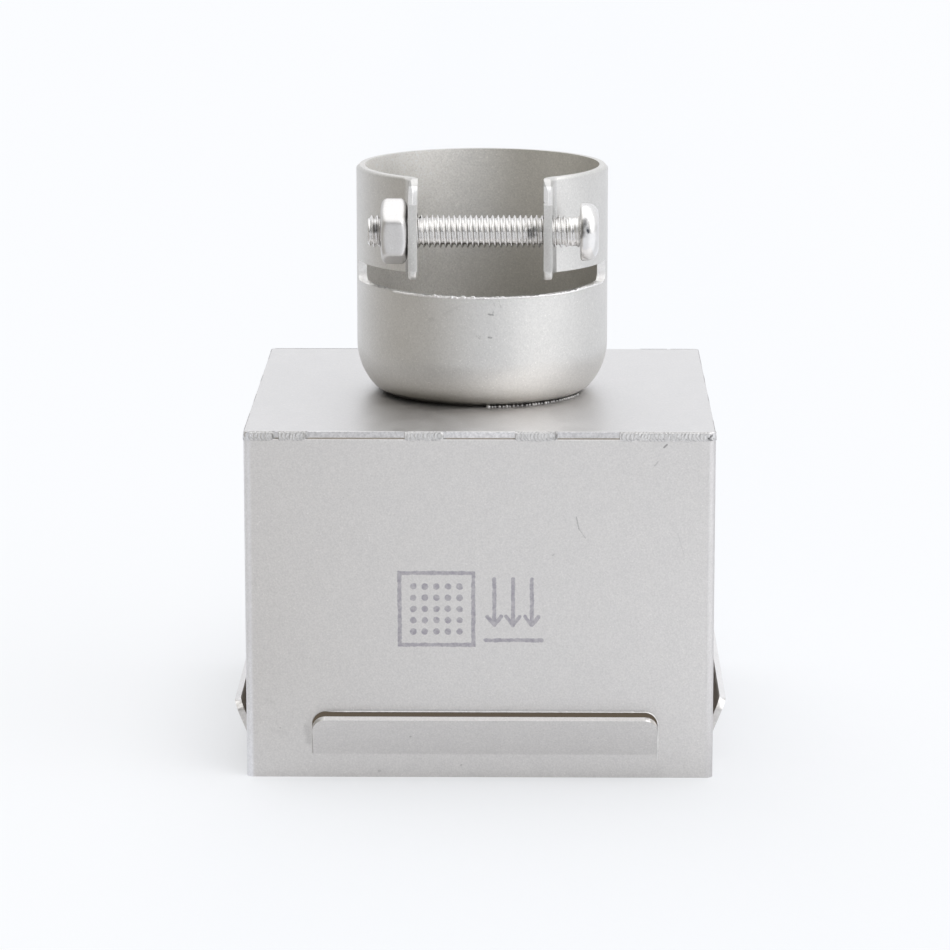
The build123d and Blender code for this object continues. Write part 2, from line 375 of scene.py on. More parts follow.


# The walls' upright folds carry painted light: a painted highlight on the left fold, painted shade on the
# right
paintedFoldLight = dict(
    left=(1.22, 1.25, 1.32),  # painted highlight, and duller than the rest
    leftMetallic=0.55,
    # painted shade on the right fold
    right=(0.88, 0.88, 0.89),
    inFromSide=(0.42 * mm, 0.78 * mm),
    inFromFront=(1.6 * mm, 0.8 * mm),
)


def paintedFoldLights(x, y, color):
    # the colour with the folds' painted light on it, and how metallic it stays
    start, full = paintedFoldLight["inFromFront"]
    fold = (outerHalf - abs(x)).spread(*paintedFoldLight["inFromSide"], 1.0, 0.0)
    fold *= abs(y).spread(outerHalf - start, outerHalf - full)
    left = fold * (x < 0.0)
    tint = blend(fold - left, blend(left, plain, paintedFoldLight["left"]), paintedFoldLight["right"])
    return vectorMath("MULTIPLY", color, tint), left.dim(1 - paintedFoldLight["leftMetallic"])


# Strokes on a surface, in millimetres across and up
def segmentDistance(across, up, first, second):
    # distance to a straight stroke from first to second
    dx, dy = second[0] - first[0], second[1] - first[1]
    fromX, fromY = across - first[0], up - first[1]
    share = (fromX * dx + fromY * dy).math("DIVIDE", dx * dx + dy * dy, clamp=True)
    return distanceOf(fromX - share * dx, fromY - share * dy)


def inkOf(distance, half):
    softness = 0.035
    return distance.spread(half - softness, half + softness, 1.0, 0.0)


# Weld metal, with ripples like crescents
weldFinish = dict(
    blastedSteel,
    roughness=0.36,
    grainDepth=0.03 * mm,
    ripple=0.33 * mm,
    bow=0.9,  # how far the ripples bow, in ripples at the bead's edge
    unevenSize=0.8 * mm,
    uneven=2.2,  # in ripples
    patchySize=0.35 * mm,
    rippleShade=0.24,
    topShade=0.80,
    endShade=0.45,  # painted shade at the front stitches' ends, dimming their highlight
    craterShade=0.55,
    crater=(((20.95, 31.90), (20.62, 31.62)), ((20.62, 31.62), (20.95, 31.36))),
)


def weldMaterial(name, upright=False):
    # the ripples open to the right, or upwards on the corner seam
    material, place = startMaterial(name)
    finish = weldFinish
    shade, rough, speck = blastedBase(place, finish)
    x, y, z = sidesOf(place)
    if upright:
        along, off = z, x - cornerWeld["middle"]
    else:
        onFront = abs(y) > outerHalf - 0.4 * mm
        along, off = onFront.spread(0.0, 1.0, y, x, smooth=False), z - seamWeld["middle"]
    off *= 1 / seamWeld["pulse"]
    phase = along * (1 / finish["ripple"]) + off * off * -finish["bow"]
    phase += grain(place, finish["unevenSize"], 2.0, 0.6, 71.0) * finish["uneven"]
    ripple = phase.math("PINGPONG", 0.5).spread(0.05, 0.30, 1.0, 0.0)
    ripple *= grain(place, finish["patchySize"], 2.0, 0.6, 73.0).spread(0.35, 0.6)
    shade *= ripple.dim(finish["rippleShade"])
    front = y < -outerHalf + 0.7 * mm
    for first, last in seamWeld["stitches"]:
        # painted shade at each front stitch's end
        toEnd = abs(along - (last - 0.1) * mm)
        end = toEnd.spread(0.08 * mm, 0.22 * mm, 1.0, 0.0) * front
        shade *= end.dim(finish["endShade"])
    shade *= z.spread(roofHigh.z - 0.14 * mm, roofHigh.z - 0.06 * mm, 1.0, finish["topShade"])
    for first, second in finish["crater"]:
        line = inkOf(segmentDistance(x * perMm, z * perMm, first, second), 0.08) * front
        shade *= line.dim(finish["craterShade"])
    color, metallic = paintedFoldLights(x, y, scaled(finish["color"], shade))
    return dress(material, color, metallic, rough, speck, finish["grainDepth"])


# Cup: painted shade and painted contact shade at its foot, bright where it was sheared, with a painted
# highlight on the ears' slopes, browned inside under painted light and shade
cupFinish = dict(
    blastedSteel,
    color=(0.665, 0.655, 0.635),
    sparkle=0.16,
    # painted shade over the foot, darkest at the left
    footShadeRange=(0.2 * mm, 4.4 * mm),  # over the roof
    footShadeAcross=(-9.0 * mm, 8.5 * mm),
    footShadeLeft=(0.43, 0.405, 0.36),
    footShadeRight=(0.98, 0.965, 0.94),
    # painted contact shade where the foot meets the roof
    contactShade=0.5,
    contactShadeRange=(0.3 * mm, 0.75 * mm),
    contactShadeAcross=(-6.0 * mm, 0.8 * mm),
    slotEndColor=(0.95, 0.94, 0.93),
    slotEndMetallic=0.6,
    slotEndAcross=10.45 * mm,
    slotEndRange=(42.9 * mm, 45.6 * mm),
    # sheared slopes of the ears, painted brighter as a highlight
    earSlopeColor=(0.96, 0.95, 0.94),
    insideFrom=5.0 * mm,  # over the roof
    # brown tint inside, with painted light across it: brighter at the left, darker at the right
    insideAcross=(-6.5 * mm, 4.5 * mm),
    insideLeft=(0.98, 0.965, 0.94),
    insideRight=(0.60, 0.58, 0.535),
    # painted shade lower inside the cup, over this height range
    insideRange=(44.0 * mm, 51.0 * mm),
    insideLow=0.92,
    insideRoughness=0.46,
    insideMetallic=0.80,
    speckleSize=0.15 * mm,
    speckle=0.06,
    waver=0.05,
    marks=(
        # from and to in millimetres across and up, width, darkening
        ((0.72, 41.30), (0.92, 41.24), 0.13, 0.40),
        ((1.05, 41.22), (1.14, 41.20), 0.15, 0.45),
        ((1.10, 41.28), (1.14, 41.62), 0.08, 0.25),
        ((1.22, 42.30), (1.30, 42.05), 0.07, 0.16),
        ((0.74, 39.13), (0.98, 39.10), 0.16, 0.40),
        ((-0.42, 39.30), (-0.12, 39.02), 0.09, 0.16),
        ((-0.22, 39.34), (-0.02, 39.16), 0.07, 0.12),
        ((1.66, 42.5), (1.86, 41.9), 0.07, 0.16),
        ((-3.4, 41.2), (-2.0, 41.95), 0.30, 0.05),
        ((-4.6, 40.6), (-4.5, 40.65), 0.40, 0.08),
        ((9.4, 36.0), (9.5, 36.1), 0.20, 0.08),
    ),
)


def cupMaterial():
    material, place = startMaterial("blastedCup")
    finish = cupFinish
    shade, rough, speck = blastedBase(place, finish)
    x, y, z = sidesOf(place)
    over = z - roofHigh.z
    flat = getValue(place.tree, "CombineXYZ", "Vector", {"X": x, "Y": y})
    radius = vectorMath("LENGTH", flat, output="Value")
    front = y < -1.0 * mm
    onSkin = (radius > cupRadius - 0.05 * mm) * front
    swing = finish["waver"]
    waver = grain(place, 0.4 * mm, 2.0, 0.6, 41.0).spread(0.25, 0.75, -swing, swing, smooth=False)
    across, up = x * perMm, z * perMm
    for first, second, width, strength in finish["marks"]:
        line = inkOf(segmentDistance(across, up, first, second) + waver, width / 2)
        shade *= (line * onSkin).dim(strength)
    color = scaled(finish["color"], shade)
    # painted shade on the foot, darkest at the left
    tint = blend(x.spread(*finish["footShadeAcross"]), finish["footShadeLeft"], finish["footShadeRight"])
    tint = blend(over.spread(*finish["footShadeRange"], 1.0, 0.0), plain, tint)
    color = vectorMath("MULTIPLY", color, tint)
    # painted contact shade where it stands on the roof without a bead
    contactShade = over.spread(*finish["contactShadeRange"], 1.0, 0.0) * x.spread(*finish["contactShadeAcross"], 1.0, 0.0)
    color = scaled(color, contactShade.dim(finish["contactShade"]))
    # sheared ends of the slot
    ends = radius.between(cupRadius - 0.78 * mm, cupRadius - 0.02 * mm) * front
    ends *= (abs(x) > finish["slotEndAcross"]) * z.between(*finish["slotEndRange"])
    color = blend(ends, color, scaled(finish["slotEndColor"], shade))
    # sheared slopes of the ears, painted brighter as a highlight where they face up
    facing = getValue(place.tree, "NewGeometry", "True Normal")
    slope = sidesOf(facing)[2].between(0.2, 0.95) * (y < -cupRadius) * (z > axisZ)
    color = blend(slope, color, scaled(finish["earSlopeColor"], shade))
    # inside: brown tint, with painted light brighter at the left and darker at the right, and painted shade
    # lower down
    inward = vectorMath("DOT_PRODUCT", facing, flat, "Value") < -0.3 * cupRadius
    within = inward * (over > finish["insideFrom"])
    speckle = grain(place, finish["speckleSize"], 1.0, 0.5, 61.0).vary(finish["speckle"], smooth=False)
    inner = shade * speckle * z.spread(*finish["insideRange"], finish["insideLow"], 1.0)
    browningAndPaintedLight = blend(x.spread(*finish["insideAcross"]), finish["insideLeft"], finish["insideRight"])
    color = blend(within, color, scaled(browningAndPaintedLight, inner))
    rough += within * (finish["insideRoughness"] - finish["roughness"])
    soft = (within * (1 - finish["insideMetallic"])).math("MAXIMUM", ends * (1 - finish["slotEndMetallic"]))
    return dress(material, color, 1.0 - soft, rough, speck, finish["grainDepth"])


# Wall, with the marks on its front in millimetres across and up
wallFinish = dict(
    blastedSteel,
    color=(0.706, 0.689, 0.672),
    paintedTopHighlight=1.16,  # a painted highlight along the top edge
    insideColor=trayFinish["color"],
    insideRoughness=0.5,
    shearedColor=(0.75, 0.74, 0.74),
    shearedMetallic=0.75,
    shearedRange=(5.69 * mm, 6.05 * mm),
    smudgeSize=5.0 * mm,
    smudge=0.95,
    waver=0.06,
    scratches=(
        # from, to, width, darkening
        ((8.75, 24.38), (8.98, 23.3), 0.10, 0.30),
        ((8.98, 23.3), (9.57, 22.43), 0.09, 0.22),
        ((16.62, 30.80), (16.88, 31.05), 0.15, 0.50),
        ((15.8, 29.11), (16.08, 29.48), 0.12, 0.22),
        ((17.93, 22.9), (18.48, 20.85), 0.08, 0.10),
        ((6.6, 20.8), (6.74, 20.9), 0.14, 0.18),
    ),
    paintedShades=(
        # broad soft painted shades: beside the louver's left cut, under its lip and near the left fold; on
        # the flap's bend a faint painted highlight
        ((-15.75, 4.7), (-15.55, 3.3), 0.55, 0.13),
        ((-14.0, 6.33), (15.0, 6.33), 0.12, 0.07),
        ((-15.0, 2.12), (16.0, 2.12), 0.14, -0.035),
        ((-18.9, 4.4), (-17.6, 4.1), 0.35, 0.04),
        ((-19.3, 7.2), (-18.6, 6.9), 0.30, 0.03),
    ),
    specks=(
        # across, up, radius, darkening
        (-6.3, 4.0, 0.09, 0.28),
        (-9.2, 0.55, 0.12, 0.22),
        (-1.7, 1.1, 0.08, 0.22),
        (-18.2, 4.6, 0.08, 0.20),
        (-0.5, 6.9, 0.07, 0.15),
        (10.8, 3.9, 0.07, 0.15),
        (4.2, 9.4, 0.06, 0.15),
        (-12.3, 26.1, 0.06, 0.12),
    ),
)

# Etched size symbol: a ball grid chip, seen from below, beside three arrows of air on a board
etching = dict(
    color=(0.40, 0.38, 0.42),
    duller=0.12,
    stroke=0.35,
    chip=(-3.9, 15.8, 3.35),  # middle across, middle up, half its side
    balls=2.5,  # from the middle, in pitches
    ballPitch=1.05,
    ballRadius=0.30,
    arrows=(1.35, 3.05, 4.75),
    arrowTop=18.6,
    arrowFoot=14.3,
    arrowHalf=0.62,
    arrowRise=1.3,  # share of the half
    board=(0.5, 5.7, 12.9),  # left end, right end and height of the line under the arrows
)


def etchedSymbol(across, up, wobble):
    half = etching["stroke"] / 2
    middleX, middleY, side = etching["chip"]
    offX, offY = across - middleX, up - middleY
    reach = widest(offX, offY)
    pitch = etching["ballPitch"]
    toBall = distanceOf(offX.math("PINGPONG", pitch / 2), offY.math("PINGPONG", pitch / 2))
    balls = inkOf(toBall + wobble, etching["ballRadius"]) * (reach < etching["balls"] * pitch)
    ink = inkOf(abs(reach - side) + wobble, half).math("MAXIMUM", balls)
    left, right, level = etching["board"]
    strokes = [((left, level), (right, level))]
    top, foot, arm = etching["arrowTop"], etching["arrowFoot"], etching["arrowHalf"]
    barb = foot + etching["arrowRise"] * arm
    for x in etching["arrows"]:
        strokes += [((x, top), (x, foot)), ((x, foot), (x - arm, barb)), ((x, foot), (x + arm, barb))]
    for first, second in strokes:
        line = inkOf(segmentDistance(across, up, first, second) + wobble, half)
        ink = ink.math("MAXIMUM", line)
    return ink


def wallMaterial():
    material, place = startMaterial("blastedSheet")
    finish = wallFinish
    shade, rough, speck = blastedBase(place, finish)
    x, y, z = sidesOf(place)
    across, up = x * perMm, z * perMm
    front = y < -outerHalf + 0.05 * mm
    reach = widest(x, y)
    # smudges low on the left and right
    smear = grain(place, finish["smudgeSize"], 4.0, 0.62, 31.0).spread(0.5, 0.7)
    smudge = smear * up.spread(16.0, 2.0) * abs(across).spread(10.0, 20.0)
    shade *= smudge.spread(0.0, 1.0, 1.0, finish["smudge"])
    # scratches, painted shades and specks
    swing = finish["waver"]
    wobble = grain(place, 0.5 * mm, 2.0, 0.6, 41.0).spread(0.25, 0.75, -swing, swing, smooth=False)
    for first, second, width, strength in finish["scratches"]:
        line = inkOf(segmentDistance(across, up, first, second) + wobble * 0.5, width / 2)
        shade *= (line * front).dim(strength)
    # painted shades, and a faint painted highlight where the strength is negative
    for first, second, width, strength in finish["paintedShades"]:
        paintedShade = segmentDistance(across, up, first, second).spread(0.0, width, 1.0, 0.0)
        shade *= (paintedShade * front).dim(strength)
    for x0, z0, size, strength in finish["specks"]:
        speckle = inkOf(segmentDistance(across, up, (x0, z0), (x0 + 0.05, z0 + 0.03)) + wobble, size)
        shade *= (speckle * front).dim(strength)
    # painted highlight along the wall's top edge
    topHighlight = z.spread(wallTop - 0.14 * mm, wallTop - 0.05 * mm, 1.0, finish["paintedTopHighlight"])
    color, metallic = paintedFoldLights(x, y, scaled(finish["color"], shade * topHighlight))
    # etched symbol
    patchy = grain(place, 0.35 * mm, 2.0, 0.6, 47.0).spread(0.25, 0.75, 0.55, 1.0)
    ink = etchedSymbol(across, up, wobble) * front * patchy
    color = blend(ink, color, scaled(etching["color"], shade))
    # inside of the box
    within = reach.spread(outerHalf - 0.35 * mm, outerHalf - 0.25 * mm, 1.0, 0.0)
    color = blend(within, color, scaled(finish["insideColor"], shade))
    # sheared edges of the louvers' flaps
    sheared = z.between(*finish["shearedRange"]) * (reach > outerHalf + 0.1 * mm)
    color = blend(sheared, color, scaled(finish["shearedColor"], shade))
    metallic *= sheared.spread(0.0, 1.0, 1.0, finish["shearedMetallic"])
    rough += within * (finish["insideRoughness"] - finish["roughness"]) + ink * etching["duller"]
    return dress(material, color, metallic, rough, speck, finish["grainDepth"])


# Bright plating of the screw
platedSteel = dict(
    color=(0.75, 0.74, 0.73),
    roughness=(0.11, 0.23),
    cloudSize=0.7 * mm,
    cloud=(0.93, 1.03),
    raggedSize=0.5 * mm,
    ragged=0.35,
    grainSize=0.3 * mm,
    grainDepth=0.012 * mm,
    stains=(
        # along the screw, up from its axis, length upwards in millimetres, size, darkening
        (4.7, 0.0, 0.2, 0.66, 0.62),
        (-9.6, 0.35, 0.3, 0.55, 0.50),
        (9.27, 0.05, 0.7, 0.42, 0.66),
        (9.50, 1.10, 0.2, 0.34, 0.58),
        (9.90, 0.30, 0.9, 0.24, 0.45),
    ),
)


def platedMaterial():
    material, place = startMaterial("platedSteel")
    finish = platedSteel
    cloud = grain(place, finish["cloudSize"], 3.0, 0.6, 1.0)
    shade = cloud.spread(0.3, 0.7, *finish["cloud"])
    x, y, z = sidesOf(place)
    across, up = x * perMm, (z - axisZ) * perMm
    swing = finish["ragged"]
    ragged = grain(place, finish["raggedSize"], 3.0, 0.6, 9.0).spread(0.3, 0.7, -swing, swing, smooth=False)
    front = y < axisY
    for x0, z0, length, size, strength in finish["stains"]:
        distance = segmentDistance(across, up, (x0, z0), (x0, z0 + length)) + ragged * size
        shade *= (distance.spread(0.0, size, 1.0, 0.0) * front).dim(strength)
    rough = cloud.spread(0.3, 0.7, *finish["roughness"])
    fine = grain(place, finish["grainSize"], 2.0, 0.5, 5.0)
    return dress(material, scaled(finish["color"], shade), 1.0, rough, fine, finish["grainDepth"])


# Mesh helpers
def meshOf(bm, name):
    mesh = bpy.data.meshes.new(name)
    bm.to_mesh(mesh)
    bm.free()
    return mesh


def finishMesh(bm, name, material, replaced=None, body="nozzle", flatAbove=1.0):
    # faces of more than flatAbove square metres stay flat
    bmesh.ops.recalc_face_normals(bm, faces=bm.faces)
    mesh = meshOf(bm, name)
    for face in mesh.polygons:
        face.use_smooth = face.area < flatAbove
    mesh.materials.append(material)
    obj = linkObject(name, mesh)
    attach(obj, body)
    if replaced:
        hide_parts(replaced)
    return obj


def weldedCopy(node):
    # the node's mesh with its seams joined and its flat faces whole
    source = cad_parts[node].data
    mesh = bpy.data.meshes.new("plain")
    mesh.from_pydata([v.co[:] for v in source.vertices], [], [p.vertices[:] for p in source.polygons])
    bm = bmesh.new()
    bm.from_mesh(mesh)
    bpy.data.meshes.remove(mesh)
    bmesh.ops.remove_doubles(bm, verts=bm.verts, dist=0.0005 * mm)
    bmesh.ops.dissolve_limit(bm, angle_limit=radians(0.3), verts=bm.verts, edges=bm.edges)
    return bm


def breakEdges(bm, width, segments=2, chosen=None, skipAlongX=False, clamped=True):
    # chosen is a test of the place that both ends of an edge have to pass
    sharp = [e for e in bm.edges if e.is_manifold and e.calc_face_angle() > radians(30)]
    if chosen:
        sharp = [e for e in sharp if all(chosen(v.co) for v in e.verts)]
    if skipAlongX:
        sharp = [e for e in sharp if abs(e.verts[0].co.x - e.verts[1].co.x) < 0.02 * mm]
    bmesh.ops.bevel(
        bm, geom=sharp, offset=width, offset_type="OFFSET", segments=segments, profile=0.5,
        affect="EDGES", clamp_overlap=clamped,
    )


def evenNormals(obj):
    modifier = obj.modifiers.new("evenNormals", "WEIGHTED_NORMAL")
    modifier.mode = "FACE_AREA"
    modifier.weight = 50
    modifier.keep_sharp = False


def joinRows(bm, rows, closed=True):
    # faces between neighbouring rows of vertices
    for low, high in zip(rows, rows[1:]):
        count = len(low)
        for i in range(count if closed else count - 1):
            j = (i + 1) % count
            bm.faces.new((low[i], low[j], high[j], high[i]))


def closeRows(bm, rows, tips=None):
    # a tube with a flat face at each end, or with a fan round each of the two tips
    joinRows(bm, rows)
    for row, tip in zip((rows[0], rows[-1]), tips or (None, None)):
        if tip:
            middle = bm.verts.new(tip)
            for i in range(len(row)):
                bm.faces.new((row[i], row[(i + 1) % len(row)], middle))
        else:
            bm.faces.new(row)


def unevenness(*place):
    return noise.noise(Vector(place))


def ringRow(bm, x, radius, count):
    # a ring round the screw's axis, its radius a number or a function of the angle
    row = []
    for i in range(count):
        turn = 2 * pi * i / count
        r = radius(turn) if callable(radius) else radius
        row.append(bm.verts.new((x, axisY + r * cos(turn), axisZ + r * sin(turn))))
    return row


def finishSheet(bm, name, material, node):
    evenNormals(finishMesh(bm, name, material, node, flatAbove=12 * mm * mm))


# Walls and roof: their edges are broken, most of all the sheared ones of the louvers
sheetShape = dict(
    wallEdge=0.05 * mm,
    roofEdge=0.04 * mm,
    louverEdge=0.13 * mm,
    louverRange=(4.6 * mm, 6.2 * mm),
)


def makeWalls():
    bm = weldedCopy("wall_shell")
    low, high = sheetShape["louverRange"]

    def onLouver(place):
        onSkin = abs(max(abs(place.x), abs(place.y)) - outerHalf) < 0.02 * mm
        return low < place.z < high and onSkin

    breakEdges(bm, sheetShape["louverEdge"], 3, chosen=onLouver)
    breakEdges(bm, sheetShape["wallEdge"])
    finishSheet(bm, "wallShell", wallSteel, "wall_shell")


def makeRoof():
    bm = weldedCopy("top_plate")
    reach = outerHalf - plateInset
    for v in bm.verts:
        v.co.x, v.co.y = [copysign(min(abs(side), reach), side) for side in v.co.xy]
    breakEdges(bm, sheetShape["roofEdge"])
    finishSheet(bm, "topPlate", roofSteel, "top_plate")


# Cup: a drawn ring on a rounded foot, its slot's lower edge sawn by hand so that it dips at the front
cupShape = dict(
    bend=6.0 * mm,  # outer radius of the foot's bend
    rise=4.7 * mm,  # height where the straight band starts
    sheet=0.8 * mm,
    rimEdge=0.09 * mm,
    earEdge=0.12 * mm,
    earFoot=axisZ - 3.3 * mm,
    earFootEdge=0.26 * mm,
    slotEndEdge=0.06 * mm,
    slot=roofHigh.z + 10.8 * mm,
    dip=0.18 * mm,
    dipLeft=(-70, 52),  # where the dip starts and over how many degrees, from the front to the right
    dipRight=(60, 22),
    undercut=0.4 * mm,
    undercutRise=0.5 * mm,
)


def slotDip(angle):
    leftEnd, leftSweep = cupShape["dipLeft"]
    rightEnd, rightSweep = cupShape["dipRight"]
    left = min(max((angle - leftEnd) / leftSweep, 0.0), 1.0)
    right = min(max((rightEnd - angle) / rightSweep, 0.0), 1.0)
    return cupShape["dip"] * left * left * (3 - 2 * left) * right * right * (3 - 2 * right)


def turnedNormals(obj):
    # exact normals on the cup's turned skins, elsewhere those of the widest face at each corner
    mesh = obj.data
    bend = cupShape["bend"]
    middle, tangent = cupRadius - bend, roofHigh.z + cupShape["rise"]

    def turned(place):
        r = hypot(place.x, place.y)
        out, up = r - middle, min(0.0, place.z - tangent)
        away = hypot(out, up)
        onSkin = min(abs(away - bend), abs(away - bend + cupShape["sheet"])) < 0.02 * mm
        return Vector((place.x / r * out, place.y / r * out, up)) / away, onSkin

    ways = [turned(v.co) for v in mesh.vertices]
    sums = [Vector() for v in mesh.vertices]
    sides = [0.0] * len(mesh.vertices)
    for face in mesh.polygons:
        corners = [ways[i] for i in face.vertices]
        skin = all(onSkin and abs(face.normal.dot(way)) > 0.93 for way, onSkin in corners)
        for i in face.vertices:
            sums[i] += face.normal * (face.area / mm / mm) ** 2
            if skin:
                sides[i] += copysign(face.area, face.normal.dot(corners[0][0]))
    normals = []
    for total, side, turnedWay in zip(sums, sides, ways):
        normals.append(turnedWay[0] * copysign(1.0, side) if side else total.normalized())
    mesh.normals_split_custom_set_from_vertices(normals)


def makeCup():
    shape = cupShape
    bm = weldedCopy("inlet_cup")
    breakEdges(
        bm, shape["earFootEdge"], 4, skipAlongX=True, clamped=False,
        chosen=lambda place: place.y < -cupRadius and place.z < shape["earFoot"],
    )
    breakEdges(bm, shape["earEdge"], 3, chosen=lambda place: place.y < -cupRadius - 0.3 * mm)
    breakEdges(bm, shape["rimEdge"], chosen=lambda place: place.z > cupHigh.z - 0.05 * mm)
    low, high = cupFinish["slotEndRange"]
    breakEdges(
        bm, shape["slotEndEdge"],
        chosen=lambda place: abs(place.x) > 10.2 * mm and low < place.z < high,
    )
    for v in bm.verts:
        if abs(v.co.z - shape["slot"]) < 0.03 * mm and v.co.y < 0:
            v.co.z -= slotDip(degrees(atan2(v.co.x, -v.co.y)))
    footRadius = max(hypot(v.co.x, v.co.y) for v in bm.verts if v.co.z < roofHigh.z + 0.001 * mm)
    for v in bm.verts:
        # the foot is drawn in a little, so a dark line runs under the bend
        share = 1 - (v.co.z - roofHigh.z) / shape["undercutRise"]
        if share > 0 and hypot(v.co.x, v.co.y) > footRadius - 0.2 * mm:
            v.co.x *= 1 - shape["undercut"] * share / footRadius
            v.co.y *= 1 - shape["undercut"] * share / footRadius
    turnedNormals(finishMesh(bm, "inletCup", cupSteel, "inlet_cup"))
    return footRadius


# Burr of the saw along the slot's lower edge, in degrees from the front towards the right
slotBurr = dict(
    first=-44.0,
    last=74.0,
    step=0.35,
    height=0.21 * mm,
    out=0.15 * mm,
    thickest=-16,
    thickSweep=16,
    thicker=0.7,
    endSteps=12,
)


def makeSlotBurr():
    shape = slotBurr
    bm = bmesh.new()
    rows = []
    steps = int((shape["last"] - shape["first"]) / shape["step"])
    for i in range(steps + 1):
        angle = shape["first"] + shape["step"] * i
        a = radians(angle)
        edgeZ = cupShape["slot"] - slotDip(angle)
        rough = unevenness(angle * 0.45, 3.0, 0.0) + 0.6 * unevenness(angle * 1.6, 8.0, 0.0)
        leaning = unevenness(angle * 0.8, 20.0, 0.0)
        size = min(1.0, i / shape["endSteps"], (steps - i) / shape["endSteps"])
        size *= 1 + shape["thicker"] * max(0.0, 1 - abs(angle - shape["thickest"]) / shape["thickSweep"])
        rise = max(0.08, 0.2 + 0.9 * rough) * shape["height"] * size
        lean = max(0.4, 0.5 + 0.9 * leaning) * shape["out"] * size
        profile = (
            (-0.10 * mm, -0.03 * mm), (-0.05 * mm, rise), (lean * 0.6, rise * 0.9),
            (lean, -0.07 * mm), (-0.02 * mm, -0.17 * mm),
        )
        row = []
        for out, up in profile:
            r = cupRadius + out
            row.append(bm.verts.new((r * sin(a), -r * cos(a), edgeZ + up)))
        rows.append(row)
    closeRows(bm, rows)
    finishMesh(bm, "slotBurr", burrSteel)


# Clamp screw: rolled right-hand thread, smooth neck, pan head with a cross recess
screwShape = dict(
    radius=1.5 * mm,
    pitch=0.5 * mm,
    threadDepth=0.30 * mm,
    crest=0.12,  # share of the pitch
    root=0.16,
    tipChamfer=0.35 * mm,
    tipRadius=1.12 * mm,
    neckLength=1.0 * mm,
    neckRadius=1.33 * mm,
    runout=0.55 * mm,
    fillet=0.38 * mm,
    headHeight=1.7 * mm,
    headSide=0.6 * mm,
    headEdge=0.32 * mm,
    edgeSteps=5,
    domeSteps=14,
    around=80,
    rowsPerPitch=14,
    recessLength=2.8 * mm,
    recessWidth=0.65 * mm,
    recessDepth=1.1 * mm,
)


def threadRadius(x, turn):
    shape = screwShape
    phase = (x / shape["pitch"] - turn / (2 * pi)) % 1.0
    away = min(phase, 1 - phase)
    slope = (away - shape["crest"] / 2) / (0.5 - shape["crest"] / 2 - shape["root"] / 2)
    return shape["radius"] - shape["threadDepth"] * min(max(slope, 0.0), 1.0)


def recessCutter(top):
    # two crossed tapered bars, joined later by the boolean
    bm = bmesh.new()
    long, wide = screwShape["recessLength"], screwShape["recessWidth"]
    for lengthY, lengthZ in ((long, wide), (wide, long)):
        rows = []
        for depth, share in ((-0.3 * mm, 1.06), (screwShape["recessDepth"], 0.74)):
            y, z = lengthY / 2 * share, lengthZ / 2 * share
            row = []
            for a, b in ((-1, -1), (1, -1), (1, 1), (-1, 1)):
                row.append(bm.verts.new((top - depth, axisY + a * y, axisZ + b * z)))
            rows.append(row)
        closeRows(bm, rows)
    return bm


def cutMesh(bm, cutter):
    # bm with the cutter's shape taken away
    objects = []
    for part in (bm, cutter):
        bmesh.ops.recalc_face_normals(part, faces=part.faces)
        objects.append(linkObject("cut", meshOf(part, "cut")))
    modifier = objects[0].modifiers.new("cut", "BOOLEAN")
    modifier.operation = "DIFFERENCE"
    modifier.solver = "EXACT"
    modifier.use_self = True
    modifier.object = objects[1]
    done = objects[0].evaluated_get(bpy.context.evaluated_depsgraph_get())
    result = bmesh.new()
    result.from_mesh(done.data)
    for obj in objects:
        mesh = obj.data
        bpy.data.objects.remove(obj)
        bpy.data.meshes.remove(mesh)
    return result


def screwShank():
    shape = screwShape
    bm = bmesh.new()
    tip, under = screwLow.x, screwHigh.x - shape["headHeight"]
    threadEnd = under - shape["neckLength"]

    def shankRadius(x):
        bevel = shape["tipRadius"] + (x - tip) * (shape["radius"] - shape["tipRadius"]) / shape["tipChamfer"]
        fade = min(max((x - threadEnd + shape["runout"]) / shape["runout"], 0.0), 1.0)
        rise = max(0.0, x - (under - shape["fillet"])) / shape["fillet"]
        flare = shape["fillet"] * (1 - sqrt(max(0.0, 1 - min(rise, 1.0) ** 2)))

        def radius(turn):
            thread = threadRadius(x, turn)
            return min(thread + (shape["neckRadius"] - thread) * 0.8 * fade + flare, bevel)
        return radius

    rows = []
    x = tip
    while x < under:
        rows.append(ringRow(bm, x, shankRadius(x), shape["around"]))
        x += shape["pitch"] / shape["rowsPerPitch"]
    end = under + 0.05 * mm  # a little way into the head
    rows.append(ringRow(bm, end, shape["neckRadius"] + shape["fillet"], shape["around"]))
    closeRows(bm, rows, ((tip, axisY, axisZ), (end, axisY, axisZ)))
    return bm


def screwHead():
    shape = screwShape
    bm = bmesh.new()
    under = screwHigh.x - shape["headHeight"]
    dome = shape["headHeight"] - shape["headSide"]
    edge = shape["headEdge"]
    outline = [(under, 0.5 * headRadius), (under, headRadius - edge)]
    for i in range(1, shape["edgeSteps"] + 1):
        a = radians(90 * i / shape["edgeSteps"])
        outline.append((under + edge * (1 - cos(a)), headRadius - edge + edge * sin(a)))
    for i in range(shape["domeSteps"] + 1):
        a = radians(90 * i / shape["domeSteps"])
        x = under + shape["headSide"] + dome * sin(a)
        outline.append((x, headRadius - dome + dome * cos(a)))
    rows = [ringRow(bm, x, r, shape["around"]) for x, r in outline]
    closeRows(bm, rows, ((under, axisY, axisZ), (screwHigh.x, axisY, axisZ)))
    return cutMesh(bm, recessCutter(screwHigh.x))


def makeScrew():
    bm = screwShank()
    head = meshOf(screwHead(), "head")
    bm.from_mesh(head)
    bpy.data.meshes.remove(head)
    evenNormals(finishMesh(bm, "clampScrew", screwPlating, "clamp_screw", body="screw"))


# Clamp nut: a hexagon worn soft by the blasting
nutShape = dict(
    flats=5.5 * mm,
    turn=24.0,
    seat=2.6 * mm,
    chamferRise=0.577,
    bore=1.55 * mm,
    around=144,
    along=22,
    faceRings=7,
    softening=12,
)


